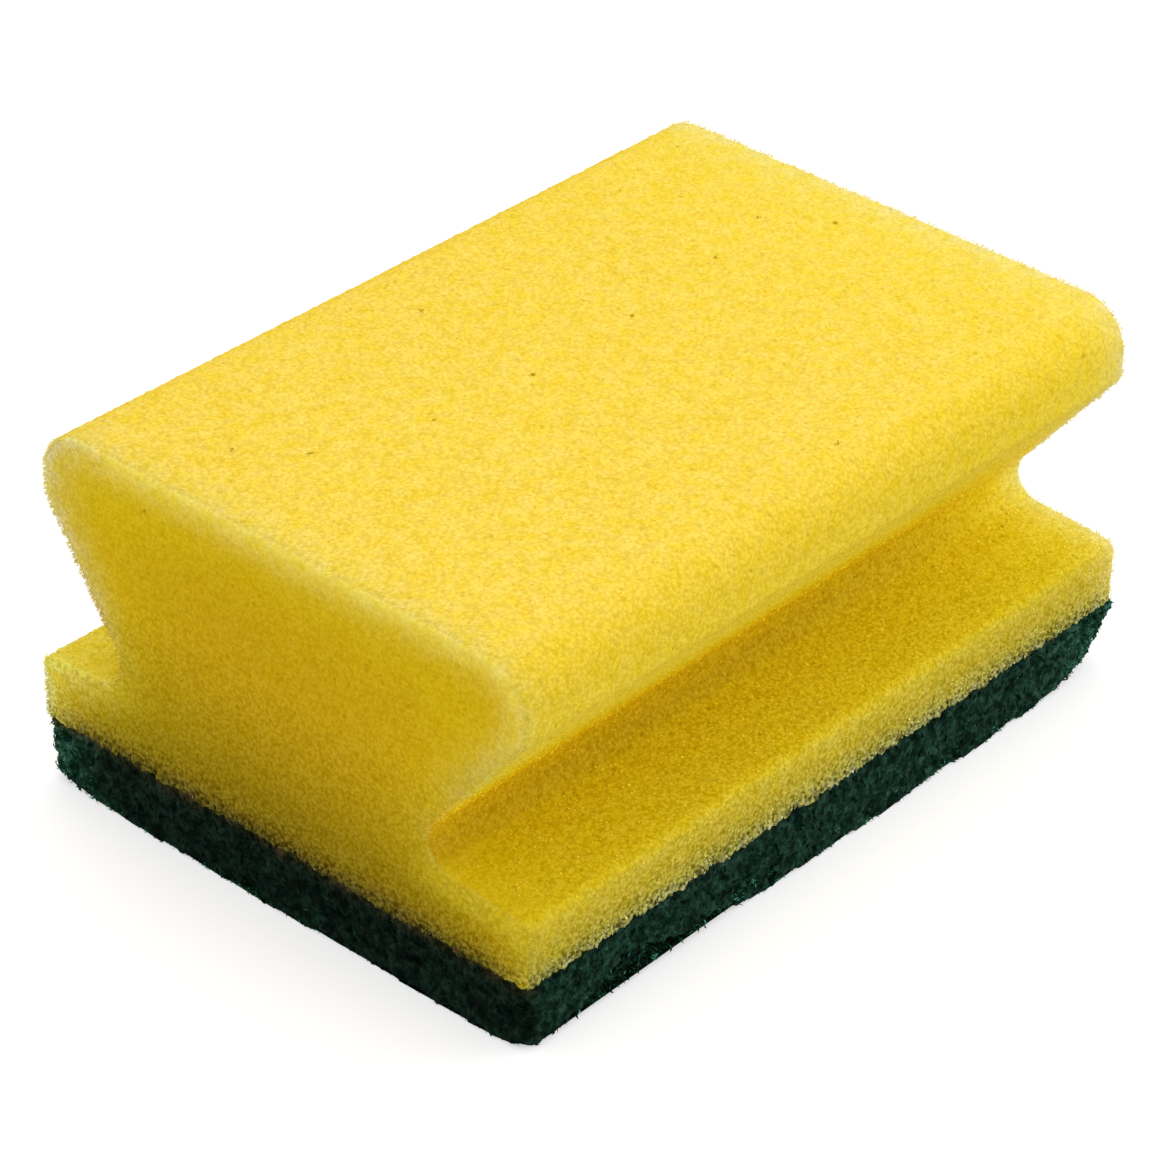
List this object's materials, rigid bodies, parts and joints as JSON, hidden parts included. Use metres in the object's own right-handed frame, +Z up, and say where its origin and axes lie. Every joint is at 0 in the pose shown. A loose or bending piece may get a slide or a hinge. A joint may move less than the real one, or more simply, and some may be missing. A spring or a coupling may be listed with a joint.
{
  "type": "cleaning sponge",
  "caption": "Grip sponge: a profiled block of yellow open-cell foam with finger grooves along both long sides, laminated on a dark green scouring pad.",
  "frame": {"origin": "middle of the scouring pad's underside, on the surface that the sponge stands on", "axes": "+X along the length, parallel to the finger grooves; +Y across the width; +Z up, from the pad to the grip head"},
  "size_m": [0.0974, 0.07, 0.0455],
  "materials": {
    "yellow_foam": "matt open-cell polyurethane foam, cells about 0.7 mm",
    "green_scourer": "matt tangled non-woven nylon fibre with abrasive grit"
  },
  "bodies": {
    "root": {"foam_body": "yellow_foam", "scouring_pad": "green_scourer"}
  },
  "joints": []
}
